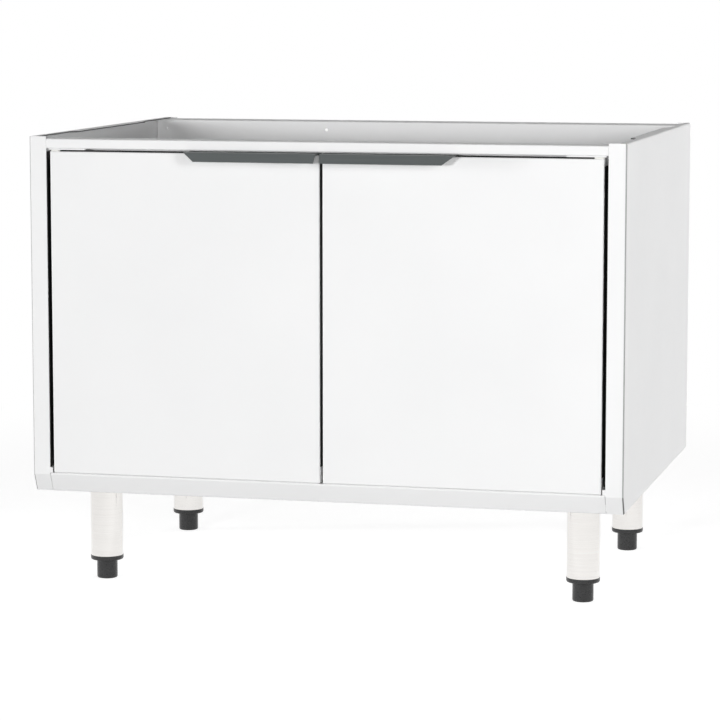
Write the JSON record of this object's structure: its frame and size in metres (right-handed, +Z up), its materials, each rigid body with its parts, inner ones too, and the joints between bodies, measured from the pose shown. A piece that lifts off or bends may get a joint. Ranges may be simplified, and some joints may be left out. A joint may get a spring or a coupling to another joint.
{
  "type": "sink base cabinet",
  "caption": "Low steel base cabinet on legs for a sit-on sink: open top, hinged doors with strip pulls, recessed back for pipes and levelling feet.",
  "frame": {"origin": "on the floor, under the middle of the whole object's box, with the doors closed and the feet screwed in", "axes": "+X to the right seen from the front, +Y to the rear, +Z up; the doors face -Y"},
  "size_m": [0.8, 0.618, 0.611],
  "materials": {
    "white_powder_coat": "smooth satin powder coat",
    "satin_stainless": "satin polished round",
    "dark_anodised": "dark grey anodised, fine brushed",
    "zinc_steel": "zinc plated",
    "black_plastic": "moulded satin",
    "black_rubber": "matt",
    "nylon": "moulded"
  },
  "bodies": {
    "carcass": {"back_panel": "white_powder_coat", "bottom_panel": "white_powder_coat", "catch_screws": "zinc_steel", "front_left_leg_collar": "black_plastic", "front_left_leg_plate": "zinc_steel", "front_left_leg_tube": "satin_stainless", "front_right_leg_collar": "black_plastic", "front_right_leg_plate": "zinc_steel", "front_right_leg_tube": "satin_stainless", "left_bottom_hinge_pin": "zinc_steel", "left_bottom_pivot_bracket": "white_powder_coat", "left_leg_channel": "zinc_steel", "left_magnetic_catch": "black_plastic", "left_side_panel": "white_powder_coat", "left_stile_seal": "black_rubber", "left_top_hinge_pin": "zinc_steel", "left_top_pivot_bracket": "white_powder_coat", "leg_plate_bolts": "zinc_steel", "pivot_bracket_screws": "zinc_steel", "rear_left_leg_collar": "black_plastic", "rear_left_leg_plate": "zinc_steel", "rear_left_leg_tube": "satin_stainless", "rear_right_leg_collar": "black_plastic", "rear_right_leg_plate": "zinc_steel", "rear_right_leg_tube": "satin_stainless", "right_bottom_hinge_pin": "zinc_steel", "right_bottom_pivot_bracket": "white_powder_coat", "right_leg_channel": "zinc_steel", "right_magnetic_catch": "black_plastic", "right_side_panel": "white_powder_coat", "right_stile_seal": "black_rubber", "right_top_hinge_pin": "zinc_steel", "right_top_pivot_bracket": "white_powder_coat", "top_front_rail": "white_powder_coat"},
    "left_door": {"left_door_skin": "white_powder_coat", "left_door_liner": "white_powder_coat", "left_pull": "dark_anodised", "left_pull_screws": "zinc_steel", "left_door_edge_seals": "black_rubber", "left_door_top_bush": "nylon", "left_door_bottom_bush": "nylon", "left_strike_plate": "zinc_steel"},
    "right_door": {"right_door_skin": "white_powder_coat", "right_door_liner": "white_powder_coat", "right_pull": "dark_anodised", "right_pull_screws": "zinc_steel", "right_door_edge_seals": "black_rubber", "right_door_top_bush": "nylon", "right_door_bottom_bush": "nylon", "right_strike_plate": "zinc_steel"},
    "front_left_levelling_foot": {"front_left_foot": "black_plastic", "front_left_foot_stem": "zinc_steel"},
    "front_right_levelling_foot": {"front_right_foot": "black_plastic", "front_right_foot_stem": "zinc_steel"},
    "rear_left_levelling_foot": {"rear_left_foot": "black_plastic", "rear_left_foot_stem": "zinc_steel"},
    "rear_right_levelling_foot": {"rear_right_foot": "black_plastic", "rear_right_foot_stem": "zinc_steel"}
  },
  "joints": [
    {"name": "left_door_hinge", "type": "hinge", "parent": "carcass", "child": "left_door", "pos_m": [-0.3621, -0.274, 0.37575], "axis": [0, 0, -1], "range_deg": [0, 95]},
    {"name": "right_door_hinge", "type": "hinge", "parent": "carcass", "child": "right_door", "pos_m": [0.3621, -0.274, 0.37575], "axis": [0, 0, 1], "range_deg": [0, 95]},
    {"name": "front_left_foot_thread", "type": "slide", "parent": "carcass", "child": "front_left_levelling_foot", "axis": [0, 0, -1], "range_m": [0, 0.03]},
    {"name": "front_right_foot_thread", "type": "slide", "parent": "carcass", "child": "front_right_levelling_foot", "axis": [0, 0, -1], "range_m": [0, 0.03]},
    {"name": "rear_left_foot_thread", "type": "slide", "parent": "carcass", "child": "rear_left_levelling_foot", "axis": [0, 0, -1], "range_m": [0, 0.03]},
    {"name": "rear_right_foot_thread", "type": "slide", "parent": "carcass", "child": "rear_right_levelling_foot", "axis": [0, 0, -1], "range_m": [0, 0.03]}
  ]
}
